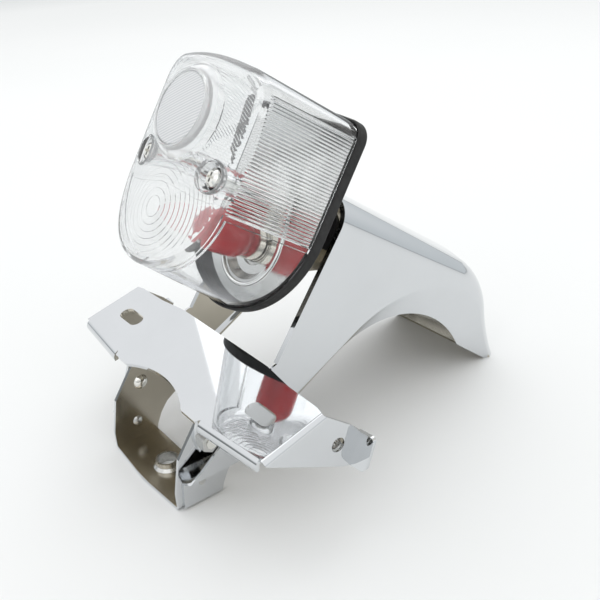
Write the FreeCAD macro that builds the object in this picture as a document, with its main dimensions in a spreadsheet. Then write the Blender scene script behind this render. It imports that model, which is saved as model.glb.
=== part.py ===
import FreeCAD, Part
import math
import os

# Small-motorcycle tail light on its chrome bracket: one macro, millimetres,
# +Z up, X lateral, lens facing -Y.  The origin is the middle of the footprint.

doc = FreeCAD.newDocument("tail_light")
V = FreeCAD.Vector
ROT = FreeCAD.Rotation
PLACE = FreeCAD.Placement
X_AXIS = V(1, 0, 0)
Y_AXIS = V(0, 1, 0)
Z_AXIS = V(0, 0, 1)

# ------------------------------------------------------------------ dimensions
DIMENSIONS = [
    ("lamp_pos_y", -22.2, "lamp base plane, screw line"),
    ("lamp_pos_z", 106.6, "lamp base plane, screw line"),
    ("lamp_tilt", 56.7, "lamp frame turned about X"),
    ("screw_x", 23.6, "half the lens screw spacing"),
    ("bulb_low", 18.5, "bulb axis below the screw line"),
    ("lens_base_w", 40.5, "half width where the lens meets the gasket"),
    ("lens_face_w", 33.5, "half width at the face edge"),
    ("lens_base_top", 40.0, "top edge above the screw line at the base"),
    ("lens_face_top", 42.0, "top edge above the screw line at the face"),
    ("lens_drop", 6.3, "centre of the round lower end"),
    ("lens_base_r", 40.5, "radius of the round lower end at the base"),
    ("lens_face_r", 33.5, "radius of the round lower end at the face"),
    ("drop_gain", 1.2, "change in that drop towards the face"),
    ("lens_corner", 7.0, "upper corner radius at the base"),
    ("corner_gain", 6.0, "upper corner radius added at the face"),
    ("lens_start", 5.0, "level where the lens leaves the gasket"),
    ("lens_foot", 3.55, "lens foot, in the gasket rabbet"),
    ("lens_edge", 48.0, "where the face meets the sides"),
    ("lens_crown", 52.0, "middle of the face"),
    ("lens_wall", 2.2, "clear plastic wall"),
    ("face_radius", 110.0, "crown radius of the face"),
    ("boss_up", 19.2, "reflector boss above the screw line"),
    ("boss_r1", 19.4, "boss foot radius"),
    ("boss_r2", 15.6, "boss rim radius"),
    ("boss_top", 56.4, "boss rim above the base plane"),
    ("reflex_r", 14.4, "reflex disc radius"),
    ("reflex_t", 2.6, "reflex disc thickness"),
    ("pocket_r", 5.2, "screw pocket radius"),
    ("pocket_floor", 44.8, "screw pocket floor"),
    ("column_r", 5.0, "lens column radius"),
    ("column_foot", 11.0, "lens column end"),
    ("screw_hole", 2.25, "screw clearance hole radius"),
    ("gasket_t", 5.0, "gasket thickness"),
    ("gasket_over", 1.3, "gasket beyond the lens foot"),
    ("pan_t", 1.0, "reflector pan sheet"),
    ("dish_r", 16.0, "dish round the bulb"),
    ("dish_deep", 3.0, "dish depth"),
    ("pan_hole", 9.3, "hole for the socket"),
    ("gap_back", 12.3, "pan face to mounting plate"),
    ("stud_x", 14.0, "half the stud spacing"),
    ("stud_up", 4.0, "studs above the screw line"),
    ("stud_r", 2.95, "M6 stud"),
    ("stud_len", 24.0, "stud length behind the pan"),
    ("cap_r", 7.5, "15 mm bayonet cap"),
    ("cap_top", 2.4, "cap edge above the base plane"),
    ("cap_len", 14.4, "cap length"),
    ("glass_r", 9.2, "bulb glass radius"),
    ("glass_top", 33.0, "glass end"),
    ("pin_r", 1.0, "bayonet pin radius"),
    ("pin_z", -7.4, "bayonet pins"),
    ("socket_r", 8.5, "socket shell outside radius"),
    ("socket_bore", 7.75, "socket shell bore"),
    ("socket_end", -25.0, "socket shell end"),
    ("wall_x", 34.5, "outside of the chrome side walls"),
    ("sheet_t", 1.0, "chrome sheet"),
    ("crown_h", 15.9, "crown above the side wall crease"),
    ("crown_r", 90.0, "crown radius"),
    ("corner_r", 13.0, "crown corner radius"),
    ("crown_slope", 34.7, "crown falls towards the front"),
    ("rim_y", -17.0, "upper end of the rear rim"),
    ("rim_z", 93.1, "upper end of the rear rim"),
    ("rim_tilt", 53.3, "rear rim slope"),
    ("rim_len", 50.5, "rear rim length down to the legs"),
    ("strap_x", 28.5, "outside of the U strap"),
    ("strap_t", 1.6, "strap sheet"),
    ("strap_bend", 3.2, "strap outside bend"),
    ("strap_front", -98.2, "front edge of the strap bottom"),
    ("strap_back", -76.0, "rear edge of the strap bottom"),
    ("bush_y", -85.4, "strap bush"),
    ("bush_r", 5.1, "strap bush collar"),
    ("bush_bore", 4.25, "strap bush bore"),
    ("bush_h", 5.0, "strap bush height"),
    ("bolt_y", -80.2, "plate bolt"),
    ("bolt_z", 29.3, "plate bolt"),
    ("rivet_y", -84.8, "strap rivet"),
    ("rivet_z", 10.4, "strap rivet"),
    ("plate_y", -68.6, "middle of the plate slots"),
    ("plate_z", 48.05, "top of the plate at the slots"),
    ("plate_tilt", 14.74, "plate slope"),
    ("plate_t", 1.6, "plate sheet"),
    ("plate_half", 73.9, "half the plate width"),
    ("slot_x", 52.5, "half the slot spacing"),
    ("slot_half", 8.0, "half the slot length"),
    ("slot_r", 3.5, "half the slot width"),
    ("tab_out", 7.2, "arm tab width"),
    ("nut_y", -48.9, "arm nut"),
    ("nut_z", 35.8, "arm nut"),
]

sheet = doc.addObject("Spreadsheet::Sheet", "Dims")
for row, (alias, value, note) in enumerate(DIMENSIONS, start=1):
    sheet.set("A%d" % row, alias)
    sheet.set("B%d" % row, str(value))
    sheet.set("C%d" % row, note)
    sheet.setAlias("B%d" % row, alias)
doc.recompute()


def dim(alias):
    """Value of one spreadsheet dimension in millimetres or degrees."""
    return float(sheet.get(alias))


# -------------------------------------------------------------------- helpers
PARTS = []


def bind(obj, prop, expression):
    """Tie one property to the spreadsheet; bare aliases are prefixed."""
    obj.setExpression(prop, expand(expression))


def expand(expression):
    """Put the sheet name in front of every alias of an expression."""
    words = []
    word = ""
    for char in expression + " ":
        if char.isalnum() or char == "_":
            word += char
            continue
        words.append("Dims." + word if word in ALIASES else word)
        words.append(char)
        word = ""
    return "".join(words).strip()


ALIASES = {entry[0] for entry in DIMENSIONS}


def origin_plane(body, role):
    """One origin plane of a body, found by its role."""
    for feature in body.Origin.OriginFeatures:
        if feature.Role == role:
            return feature
    raise ValueError(role)


def new_body(label):
    """A PartDesign body that becomes one exported sub-part."""
    body = doc.addObject("PartDesign::Body", label)
    body.Label = label
    return body


def new_sketch(body, role, name):
    """A sketch lying on one origin plane of the body."""
    sketch = body.newObject("Sketcher::SketchObject", name)
    sketch.AttachmentSupport = [(origin_plane(body, role), "")]
    sketch.MapMode = "FlatFace"
    return sketch


def polygon(sketch, corners):
    """Closed polygon whose corners are pairs of bound expressions."""
    import Sketcher
    values = [(number(a), number(b)) for a, b in corners]
    count = len(values)
    first = len(sketch.Geometry)
    for i in range(count):
        a = V(values[i][0], values[i][1], 0)
        b = V(values[(i + 1) % count][0], values[(i + 1) % count][1], 0)
        sketch.addGeometry(Part.LineSegment(a, b), False)
    for i in range(count):
        follower = first + (i + 1) % count
        sketch.addConstraint(Sketcher.Constraint("Coincident", first + i, 2, follower, 1))
    for i, (a, b) in enumerate(corners):
        place_point(sketch, first + i, 1, a, b)


def place_point(sketch, geo, vertex, across, up):
    """Fix one sketch point by two bound distances from the origin."""
    import Sketcher
    for kind, text in (("DistanceX", across), ("DistanceY", up)):
        value = number(text)
        index = sketch.addConstraint(Sketcher.Constraint(kind, -1, 1, geo, vertex, value))
        name = "c%d" % index
        sketch.renameConstraint(index, name)
        sketch.setExpression("Constraints." + name, expand(text))


def circle(sketch, across, up, radius):
    """Circle with bound centre and radius."""
    import Sketcher
    centre = V(number(across), number(up), 0)
    geo = sketch.addGeometry(Part.Circle(centre, Z_AXIS, number(radius)), False)
    place_point(sketch, geo, 3, across, up)
    index = sketch.addConstraint(Sketcher.Constraint("Radius", geo, number(radius)))
    name = "c%d" % index
    sketch.renameConstraint(index, name)
    sketch.setExpression("Constraints." + name, expand(radius))


def number(expression):
    """Evaluate a small sum or product of aliases and numbers."""
    return float(sheet.evalExpression(expand(expression)))


def pad(body, sketch, length, midplane=False, reverse=False):
    """Pad one sketch by a bound length."""
    feature = body.newObject("PartDesign::Pad", sketch.Name + "_pad")
    feature.Profile = sketch
    feature.Length = number(length)
    bind(feature, "Length", length)
    feature.Midplane = midplane
    feature.Reversed = reverse
    sketch.Visibility = False
    doc.recompute()
    return feature


def pocket(body, sketch, length="400"):
    """Cut one sketch through the body on both sides of its plane."""
    feature = body.newObject("PartDesign::Pocket", sketch.Name + "_pocket")
    feature.Profile = sketch
    feature.Length = number(length)
    bind(feature, "Length", length)
    feature.Midplane = True
    sketch.Visibility = False
    doc.recompute()
    return feature


def finish(obj, placement=None):
    """Register a finished sub-part under its label."""
    if placement is not None:
        obj.Placement = placement
    PARTS.append(obj)
    return obj


def solid(label, shape, placement=None):
    """A free-form sub-part whose shape is computed from the spreadsheet."""
    feature = doc.addObject("Part::Feature", label)
    feature.Label = label
    feature.Shape = shape
    return finish(feature, placement)


def cylinder(name, radius, height, base, direction=Z_AXIS):
    """Bound Part cylinder; base is a triple of expressions."""
    part = doc.addObject("Part::Cylinder", name)
    bind(part, "Radius", radius)
    bind(part, "Height", height)
    part.Placement.Rotation = ROT(Z_AXIS, direction)
    for axis, text in zip("xyz", base):
        bind(part, "Placement.Base." + axis, text)
    return part


def cone(name, radius1, radius2, height, base):
    """Bound Part cone along Z."""
    part = doc.addObject("Part::Cone", name)
    bind(part, "Radius1", radius1)
    bind(part, "Radius2", radius2)
    bind(part, "Height", height)
    for axis, text in zip("xyz", base):
        bind(part, "Placement.Base." + axis, text)
    return part


def prism(name, sides, circumradius, height, base, direction=Z_AXIS):
    """Bound Part prism, such as a hexagon nut."""
    part = doc.addObject("Part::Prism", name)
    part.Polygon = sides
    bind(part, "Circumradius", circumradius)
    bind(part, "Height", height)
    part.Placement.Rotation = ROT(Z_AXIS, direction)
    for axis, text in zip("xyz", base):
        bind(part, "Placement.Base." + axis, text)
    return part


def fuse(name, shapes):
    """Part boolean union."""
    part = doc.addObject("Part::MultiFuse", name)
    part.Label = name
    part.Shapes = shapes
    part.Refine = True
    return part


def cut(name, base, tool):
    """Part boolean difference."""
    part = doc.addObject("Part::Cut", name)
    part.Label = name
    part.Base = base
    part.Tool = tool
    part.Refine = True
    return part


def group(name, shapes):
    """Separate solids kept together in one sub-part."""
    part = doc.addObject("Part::Compound", name)
    part.Label = name
    part.Links = shapes
    return part


def lamp_placement():
    """Frame of the lamp: Z out of the lens, Y up its face, origin on the pan."""
    position = V(0, dim("lamp_pos_y"), dim("lamp_pos_z"))
    return PLACE(position, ROT(X_AXIS, dim("lamp_tilt")))


def plate_placement():
    """Frame of the licence plate bracket, on the top face between the slots."""
    position = V(0, dim("plate_y"), dim("plate_z"))
    return PLACE(position, ROT(X_AXIS, dim("plate_tilt")))


def both_sides(shape):
    """A shape with its mirror image across the centre plane."""
    return [shape, shape.mirror(V(0, 0, 0), X_AXIS)]


def fused(shapes):
    """Union of plain shapes with the seams removed."""
    result = shapes[0]
    for other in shapes[1:]:
        result = result.fuse(other)
    return result.removeSplitter()


# ---------------------------------------------------------- lamp outline tools
def lamp_outline(size, drop, level):
    """Closed wire: flat top with round corners, straight sides, round bottom."""
    half, top, radius, corner = size
    start = V(half, -drop, level)
    bottom = V(0, -drop - radius, level)
    inner = half - corner
    bulge = corner * math.sqrt(0.5)
    points = {
        "right": start,
        "right_up": V(half, top - corner, level),
        "right_mid": V(inner + bulge, top - corner + bulge, level),
        "top_right": V(inner, top, level),
    }
    mirrored = {key: V(-p.x, p.y, p.z) for key, p in points.items()}
    crest = V(0, top + 1.2, level)
    edges = [
        Part.makeLine(points["right"], points["right_up"]),
        Part.Arc(points["right_up"], points["right_mid"], points["top_right"]).toShape(),
        Part.Arc(points["top_right"], crest, mirrored["top_right"]).toShape(),
        Part.Arc(mirrored["top_right"], mirrored["right_mid"], mirrored["right_up"]).toShape(),
        Part.makeLine(mirrored["right_up"], mirrored["right"]),
        Part.Arc(mirrored["right"], bottom, points["right"]).toShape(),
    ]
    return Part.Wire(edges)


def lamp_block(shrink, low, high):
    """Tapered lamp body between two levels, drawn in by a wall thickness."""
    start = dim("lens_start")
    span = dim("lens_edge") - start
    wires = []
    for level in (low, high):
        mix = (level - start) / span
        half = dim("lens_base_w") + mix * (dim("lens_face_w") - dim("lens_base_w"))
        top = dim("lens_base_top") + mix * (dim("lens_face_top") - dim("lens_base_top"))
        radius = dim("lens_base_r") + mix * (dim("lens_face_r") - dim("lens_base_r"))
        corner = dim("lens_corner") + mix * dim("corner_gain") - shrink * 0.5
        drop = dim("lens_drop") + mix * dim("drop_gain")
        size = (half - shrink, top - shrink, radius - shrink, corner)
        wires.append(lamp_outline(size, drop, level))
    return Part.makeLoft(wires, True, True)


def face_ball(drop):
    """Barrel whose skin is the crowned lens face, moved in by a thickness."""
    radius = dim("face_radius")
    centre = V(0, 120, dim("lens_crown") - radius)
    return Part.makeCylinder(radius - drop, 240, centre, V(0, -1, 0))


def soften(shape, radius, chosen):
    """Fillet the chosen edges of a shape."""
    edges = [edge for edge in shape.Edges if chosen(edge)]
    return shape.makeFillet(radius, edges)


def on_face_rim(edge):
    """True for the rim between the crowned face and the sides."""
    box = edge.BoundBox
    flat_long = box.ZLength < 9
    return box.ZMin > dim("lens_edge") - 9 and flat_long


def make_lens():
    """Clear lens: shell, reflector boss, screw pockets and columns."""
    foot = dim("lens_foot")
    wall = dim("lens_wall")
    outer = lamp_block(0, foot, 60).common(face_ball(0))
    outer = soften(outer, 3.6, on_face_rim)
    inner = lamp_block(wall, foot - 1, 60).common(face_ball(wall))
    shell = outer.cut(inner)
    boss_z = dim("lens_crown") - 8
    boss = Part.makeCone(dim("boss_r1") + 2.3, dim("boss_r2"), dim("boss_top") - boss_z,
                         V(0, dim("boss_up"), boss_z))
    room = Part.makeCylinder(dim("reflex_r") + 0.1, dim("reflex_t") + 0.1,
                             V(0, dim("boss_up"), dim("boss_top") - dim("reflex_t")))
    hollow_top = dim("boss_top") - dim("reflex_t") - 1.4
    hollow = Part.makeCone(dim("boss_r1") + 0.6, dim("boss_r2") - 2.0, hollow_top - boss_z + 2,
                           V(0, dim("boss_up"), boss_z - 2))
    result = shell.fuse(boss.common(outer_bound(boss_z)))
    result = result.cut(hollow).cut(room)
    for side in (-1, 1):
        place = V(side * dim("screw_x"), 0, 0)
        top = dim("pocket_floor")
        foot = dim("column_foot")
        column = Part.makeCone(dim("column_r") - 0.6, dim("column_r") + 1.6, top + 3 - foot,
                               place + V(0, 0, foot))
        well = Part.makeCone(dim("pocket_r"), dim("pocket_r") + 1.4, 12, place + V(0, 0, top))
        bore = Part.makeCylinder(dim("screw_hole"), 60, place)
        result = result.fuse(column.common(outer)).cut(well).cut(bore)
    return result.removeSplitter()


def outer_bound(level):
    """Slab above a level, keeping the boss out of the lamp chamber."""
    return Part.makeBox(100, 120, 40, V(-50, -60, level + 2.2))


def make_gasket():
    """Black rubber gasket with a rabbet for the lens foot."""
    over = dim("gasket_over")
    thick = dim("gasket_t")
    half = dim("lens_base_w")
    top = dim("lens_base_top")
    radius = dim("lens_base_r")
    corner = dim("lens_corner")

    def plate(grow, low, height):
        size = (half + grow, top + grow, radius + grow, corner + grow)
        wire = lamp_outline(size, dim("lens_drop"), low)
        return Part.Face(wire).extrude(V(0, 0, height))

    body = soften(plate(over, 0, thick), 0.9, lambda e: e.BoundBox.ZLength < 0.01)
    body = body.cut(plate(0.55, thick - 1.5, 3))
    return body.cut(plate(-3.2, -1, thick + 2))


def make_pan():
    """Pressed reflector pan with a dish round the bulb."""
    thick = dim("pan_t")
    size = (dim("lens_base_w") - 0.6, dim("lens_base_top") - 0.6,
            dim("lens_base_r") - 0.6, dim("lens_corner"))
    wire = lamp_outline(size, dim("lens_drop"), -thick)
    body = Part.Face(wire).extrude(V(0, 0, thick))
    low = -dim("bulb_low")
    deep = dim("dish_deep")
    skin = Part.makeCone(dim("dish_r") - 3, dim("dish_r") + thick, deep + thick,
                         V(0, low, -deep - thick))
    bowl = Part.makeCone(dim("dish_r") - 3, dim("dish_r"), deep, V(0, low, -deep))
    bead = Part.makeTorus(dim("dish_r") + 2.2, 1.0, V(0, low, 0), Z_AXIS)
    body = body.fuse(bead).fuse(skin).cut(bowl)
    body = body.cut(Part.makeCylinder(dim("pan_hole"), 20, V(0, low, -10)))
    for side in (-1, 1):
        stud = V(side * dim("stud_x"), dim("stud_up"), -5)
        body = body.cut(Part.makeCylinder(dim("stud_r") + 0.1, 20, stud))
        post = V(side * dim("screw_x"), 0, -5)
        body = body.cut(Part.makeCylinder(2.7, 20, post))
    return body.removeSplitter()


# ------------------------------------------------------------- lamp sub-parts
def build_lens_group():
    """Lens, reflex disc, screws, their washers, gasket."""
    lamp = lamp_placement()
    solid("lens", make_lens(), lamp)
    disc = cylinder("reflex_disc", "reflex_r", "reflex_t - 0.2",
                    ("0", "boss_up", "boss_top - reflex_t + 0.1"))
    disc.Label = "reflex_reflector"
    finish(disc)
    to_lamp(disc)
    for name, sign in (("lens_screw_left", "-1"), ("lens_screw_right", "1")):
        across = sign + " * screw_x"
        shank = cylinder(name + "_shank", "1.95", "pocket_floor - 2.5", (across, "0", "3.5"))
        head = cylinder(name + "_head", "3.6", "1.6", (across, "0", "pocket_floor + 0.8"))
        dome = cone(name + "_dome", "3.6", "2.4", "0.8", (across, "0", "pocket_floor + 2.4"))
        body = fuse(name + "_body", [shank, head, dome])
        recess = fuse(name + "_recess", cross_recess(name, across))
        screw = cut(name, body, recess)
        finish(screw)
        to_lamp(screw)
    rings = []
    for name, sign in (("left", "-1"), ("right", "1")):
        across = sign + " * screw_x"
        disc = cylinder("washer_disc_" + name, "4.2", "0.8", (across, "0", "pocket_floor"))
        bore = cylinder("washer_bore_" + name, "2.15", "4", (across, "0", "pocket_floor - 1"))
        rings.append(cut("washer_" + name, disc, bore))
    washers = group("lens_screw_washers", rings)
    finish(washers)
    to_lamp(washers)
    solid("lens_gasket", make_gasket(), lamp)


def cross_recess(name, across):
    """Two crossed slots sunk in a screw head."""
    bars = []
    for index, (width, depth) in enumerate((("3.8", "0.9"), ("0.9", "3.8"))):
        bar = doc.addObject("Part::Box", "%s_bar%d" % (name, index))
        bind(bar, "Length", width)
        bind(bar, "Width", depth)
        bind(bar, "Height", "3")
        bind(bar, "Placement.Base.x", across + " - " + width + " / 2")
        bind(bar, "Placement.Base.y", "0 - " + depth + " / 2")
        bind(bar, "Placement.Base.z", "pocket_floor + 1.5")
        bars.append(bar)
    return bars


def to_lamp(obj):
    """Carry an object made in the lamp frame to its place."""
    doc.recompute()
    local = obj.Placement
    moved = lamp_placement().multiply(local)
    for prop in ("Placement.Base.x", "Placement.Base.y", "Placement.Base.z"):
        obj.setExpression(prop, None)
    obj.Placement = moved


def build_pan_group():
    """Reflector pan, screw posts, studs, spacers, washers, nuts, plate."""
    lamp = lamp_placement()
    solid("reflector_pan", make_pan(), lamp)
    posts = []
    for name, sign in (("left", "-1"), ("right", "1")):
        across = sign + " * screw_x"
        pillar = cylinder("post_pillar_" + name, "4.4", "column_foot - 0.2", (across, "0", "0"))
        tail = cylinder("post_tail_" + name, "2.65", "2.2", (across, "0", "-2.2"))
        bore = cylinder("post_bore_" + name, "2.0", "20", (across, "0", "-3"))
        body = fuse("post_body_" + name, [pillar, tail])
        posts.append(cut("post_" + name, body, bore))
    finish(group("lens_screw_posts", posts))
    to_lamp(PARTS[-1])
    build_stud_row("pan_studs", "stud", stud_shape)
    build_stud_row("stud_spacers", "spacer", spacer_shape)
    build_stud_row("stud_washers", "studwasher", stud_washer_shape)
    build_stud_row("stud_nuts", "studnut", stud_nut_shape)
    plate = new_body("mounting_plate")
    sketch = new_sketch(plate, "XY_Plane", "mount_outline")
    half = "(wall_x - sheet_t - 1.5)"
    polygon(sketch, [("0 - " + half, "-9"), ("-20", "-9"), ("-13.5", "-5.5"), ("13.5", "-5.5"),
                     ("20", "-9"), (half, "-9"), (half, "-4"), ("30.5", "3.5"),
                     ("23.5", "9.5"), ("12", "13"), ("-12", "13"), ("-23.5", "9.5"),
                     ("-30.5", "3.5"), ("0 - " + half, "-4")])
    pad(plate, sketch, "1.6", reverse=True)
    holes = new_sketch(plate, "XY_Plane", "mount_holes")
    circle(holes, "stud_x", "stud_up", "3.2")
    circle(holes, "0 - stud_x", "stud_up", "3.2")
    pocket(plate, holes)
    finish(plate)
    shift = PLACE(V(0, 0, -dim("gap_back")), ROT())
    plate.Placement = lamp.multiply(shift)


def build_stud_row(label, stem, maker):
    """One piece on each stud, kept as separate solids of one sub-part."""
    pieces = [maker(stem + "_" + name, sign + " * stud_x")
              for name, sign in (("left", "-1"), ("right", "1"))]
    finish(group(label, pieces))
    to_lamp(PARTS[-1])


def stud_shape(name, across):
    """Welded M6 stud with a thin head in front of the pan."""
    head = cylinder(name + "_head", "5.0", "1.2", (across, "stud_up", "0"))
    shank = cylinder(name + "_shank", "stud_r", "stud_len", (across, "stud_up", "0 - stud_len"))
    return fuse(name, [head, shank])


def spacer_shape(name, across):
    """Sleeve holding the pan off the mounting plate."""
    outer = cylinder(name + "_outer", "5.5", "gap_back - pan_t", (across, "stud_up", "0 - gap_back"))
    bore = cylinder(name + "_bore", "3.25", "20", (across, "stud_up", "-15"))
    return cut(name, outer, bore)


def stud_washer_shape(name, across):
    """Flat washer under the nut."""
    disc = cylinder(name + "_disc", "6.0", "1.2", (across, "stud_up", "0 - gap_back - 2.8"))
    bore = cylinder(name + "_hole", "3.25", "20", (across, "stud_up", "-20"))
    return cut(name, disc, bore)


def stud_nut_shape(name, across):
    """M6 hexagon nut."""
    body = prism(name + "_hex", 6, "5.77", "5", (across, "stud_up", "0 - gap_back - 7.8"))
    bore = cylinder(name + "_thread", "stud_r + 0.03", "30", (across, "stud_up", "-30"))
    return cut(name, body, bore)


def glass_side(neck, radius, low, top):
    """Half profile of the envelope: neck, shoulder, straight barrel, dome."""
    shoulder = V(radius - 0.7, 0, low + 8.5)
    dome = V(radius * math.sqrt(0.5), 0, top - radius + radius * math.sqrt(0.5))
    return [
        Part.makeLine(V(neck, 0, low), V(neck, 0, low + 4.5)),
        Part.Arc(V(neck, 0, low + 4.5), shoulder, V(radius, 0, low + 12.5)).toShape(),
        Part.makeLine(V(radius, 0, low + 12.5), V(radius, 0, top - radius)),
        Part.Arc(V(radius, 0, top - radius), dome, V(0, 0, top)).toShape(),
    ]


def glass_shape():
    """Hollow red bulb envelope, open where the cap holds it."""
    top = dim("glass_top")
    low = dim("cap_top") - 2.5
    neck = dim("cap_r") - 0.75
    wall = 1.0
    outside = glass_side(neck, dim("glass_r"), low, top)
    inside = glass_side(neck - wall, dim("glass_r") - wall, low, top - wall)
    foot = Part.makeLine(V(neck - wall, 0, low), V(neck, 0, low))
    crest = Part.makeLine(V(0, 0, top), V(0, 0, top - wall))
    profile = Part.Wire(Part.__sortEdges__([foot] + outside + [crest] + inside))
    return Part.Face(profile).revolve(V(0, 0, 0), Z_AXIS, 360)


def filament_shape():
    """Two coiled filaments as bars on their four lead wires and the stem."""
    stem = Part.makeCylinder(2.6, 9, V(0, 0, dim("cap_top") - 1.5))
    pieces = [stem]
    for side in (-1, 1):
        for end in (-1, 1):
            foot = V(side * 1.3, end * 1.0, dim("cap_top") + 7)
            tip = V(side * 2.0, end * 3.2, dim("cap_top") + 15 + side * 1.5)
            pieces.append(wire_rod(foot, tip, 0.3))
        height = dim("cap_top") + 15 + side * 1.5
        pieces.append(wire_rod(V(side * 2.0, -3.4, height), V(side * 2.0, 3.4, height), 0.45))
    return fused(pieces)


def wire_rod(start, end, radius):
    """Round rod between two points."""
    run = end.sub(start)
    return Part.makeCylinder(radius, run.Length, start, run)


def cap_shape():
    """Bayonet cap with two side pins and a thin wall."""
    top = dim("cap_top")
    length = dim("cap_len")
    shell = Part.makeCylinder(dim("cap_r"), length, V(0, 0, top - length))
    hollow = Part.makeCylinder(dim("cap_r") - 0.6, length, V(0, 0, top - length + 3.0))
    body = shell.cut(hollow)
    pin_z = dim("pin_z")
    for side in (-1, 1):
        pin = Part.makeCylinder(dim("pin_r"), 2.6, V(side * 6.7, 0, pin_z), V(side, 0, 0))
        body = body.fuse(pin)
    return body.removeSplitter()


def socket_shape():
    """Bayonet socket shell with two hooked slots and a mounting collar."""
    bottom = dim("socket_end")
    outer = dim("socket_r")
    bore = dim("socket_bore")
    top = -dim("dish_deep") - 0.4
    shell = Part.makeCylinder(outer, top - bottom, V(0, 0, bottom))
    collar = Part.makeCylinder(12.0, 1.2, V(0, 0, -dim("dish_deep") - dim("pan_t") - 1.2))
    body = shell.fuse(collar).cut(Part.makeCylinder(bore, 60, V(0, 0, bottom + 1.2)))
    body = body.cut(Part.makeCylinder(5.2, 10, V(0, 0, bottom - 2)))
    pin = dim("pin_z")
    for turn in (0, 180):
        entry = ring_sector(6.6, 9.8, pin - 2.0, 30.0, turn + 14, turn + 33)
        leg = ring_sector(6.6, 9.8, pin - 3.9, pin + 1.15, turn - 10, turn + 33)
        body = body.cut(leg).cut(entry)
    return body


def ring_sector(inner, outer, low, high, start, end):
    """Part of a ring between two angles about Z."""
    ring = Part.makeCylinder(outer, high - low, V(0, 0, low), Z_AXIS, end - start)
    ring.rotate(V(0, 0, 0), Z_AXIS, start)
    return ring.cut(Part.makeCylinder(inner, high - low + 2, V(0, 0, low - 1)))


def spring_shape(low, high, radius, wire, turns):
    """Round-wire compression spring along Z."""
    pitch = (high - low - 2 * wire) / turns
    helix = Part.makeHelix(pitch, high - low - 2 * wire, radius)
    section = Part.Wire(Part.makeCircle(wire, V(radius, 0, 0), Y_AXIS))
    coil = Part.Wire(helix).makePipeShell([section], True, True)
    coil.translate(V(0, 0, low + wire))
    return coil


def build_bulb_group():
    """Bulb, its cap and contacts, socket shell, carrier, plungers, spring."""
    lamp = lamp_placement()
    place = lamp.multiply(PLACE(V(0, -dim("bulb_low"), 0), ROT()))
    solid("bulb_glass", glass_shape(), place)
    solid("bulb_filaments", filament_shape(), place)
    solid("bulb_cap", cap_shape(), place)
    low = dim("cap_top") - dim("cap_len")
    tips = [Part.makeCylinder(1.7, 1.27, V(side * 3.2, 0, low - 1.27)) for side in (-1, 1)]
    solid("bulb_contacts", Part.makeCompound(tips), place)
    solid("socket_shell", socket_shape(), place)
    disc = Part.makeCylinder(7.7, 2.4, V(0, 0, low - 10.9))
    for side in (-1, 1):
        disc = disc.cut(Part.makeCylinder(1.35, 9, V(side * 3.2, 0, low - 13)))
    solid("contact_carrier", disc, place)
    plungers = []
    for side in (-1, 1):
        head = Part.makeCylinder(2.5, 0.9, V(side * 3.2, 0, low - 2.2))
        stem = Part.makeCylinder(1.3, 7.6, V(side * 3.2, 0, low - 9.7))
        plungers.append(head.fuse(stem).removeSplitter())
    solid("contact_plungers", Part.makeCompound(plungers), place)
    coils = []
    for side in (-1, 1):
        coil = spring_shape(low - 8.48, low - 2.22, 2.0, 0.3, 4)
        coil.translate(V(side * 3.2, 0, 0))
        coils.append(coil)
    solid("contact_springs", Part.makeCompound(coils), place)
    grommet = Part.makeCylinder(5.15, 3.2, V(0, 0, dim("socket_end") - 2.2))
    flange = Part.makeCylinder(7.2, 1.8, V(0, 0, dim("socket_end") - 1.9))
    hole = Part.makeCylinder(2.4, 12, V(0, 0, dim("socket_end") - 6))
    solid("lead_grommet", grommet.fuse(flange).cut(hole).removeSplitter(), place)


# ------------------------------------------------------------- chrome bracket
STEEP = 84.0
FLARE = 66.0
BEND_R = 45.0
FLARE_R = 100.0


def crown_points():
    """Start of the crown line, its end, the bend centre and the flare centre."""
    slope = math.radians(dim("crown_slope"))
    along = V(0, math.cos(slope), -math.sin(slope))
    normal = V(0, math.sin(slope), math.cos(slope))
    anchor = V(0, -2.65, 113.5)
    start = anchor.sub(along * 30)
    turn = anchor.add(along * ((71.0 + 2.65) / math.cos(slope)))
    centre = turn.sub(normal * BEND_R)
    hub = on_circle(centre, BEND_R + FLARE_R, STEEP)
    return start, turn, centre, hub


def on_circle(centre, radius, angle):
    """Point at an angle from +Z towards +Y in the side view."""
    turned = math.radians(angle)
    return centre.add(V(0, math.sin(turned), math.cos(turned)) * radius)


def path_frame(offset):
    """Crown centre line moved in by an offset: straight, bend, flare."""
    slope = dim("crown_slope")
    start, turn, centre, hub = crown_points()
    inward = on_circle(V(0, 0, 0), -offset, slope)
    near = BEND_R - offset
    far = -(FLARE_R + offset)
    end_angle = FLARE - 4
    return [
        Part.makeLine(start.add(inward), turn.add(inward)),
        Part.Arc(on_circle(centre, near, slope), on_circle(centre, near, (slope + STEEP) / 2),
                 on_circle(centre, near, STEEP)).toShape(),
        Part.Arc(on_circle(hub, far, STEEP), on_circle(hub, far, (STEEP + FLARE) / 2),
                 on_circle(hub, far, end_angle)).toShape(),
    ]


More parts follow.
